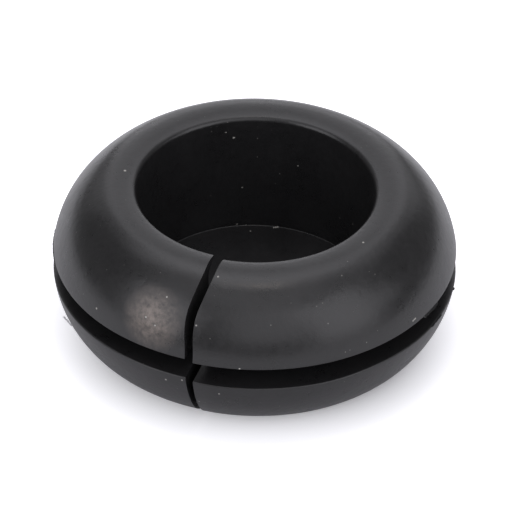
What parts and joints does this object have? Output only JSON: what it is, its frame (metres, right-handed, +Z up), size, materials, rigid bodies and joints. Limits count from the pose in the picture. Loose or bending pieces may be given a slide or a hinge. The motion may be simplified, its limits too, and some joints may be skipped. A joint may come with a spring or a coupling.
{
  "type": "rubber grommet",
  "caption": "Blind rubber grommet: a domed ring with a panel groove round its middle, a bore closed by a floor at the foot, and a slit through one side.",
  "frame": {"origin": "centre of the flat foot, on the bore's axis", "axes": "+Z up along the bore, out of its mouth; the slit faces -Y"},
  "size_m": [0.03, 0.03, 0.0134],
  "materials": {
    "black_rubber": "satin"
  },
  "bodies": {
    "root": {"grommet": "black_rubber"}
  },
  "joints": []
}
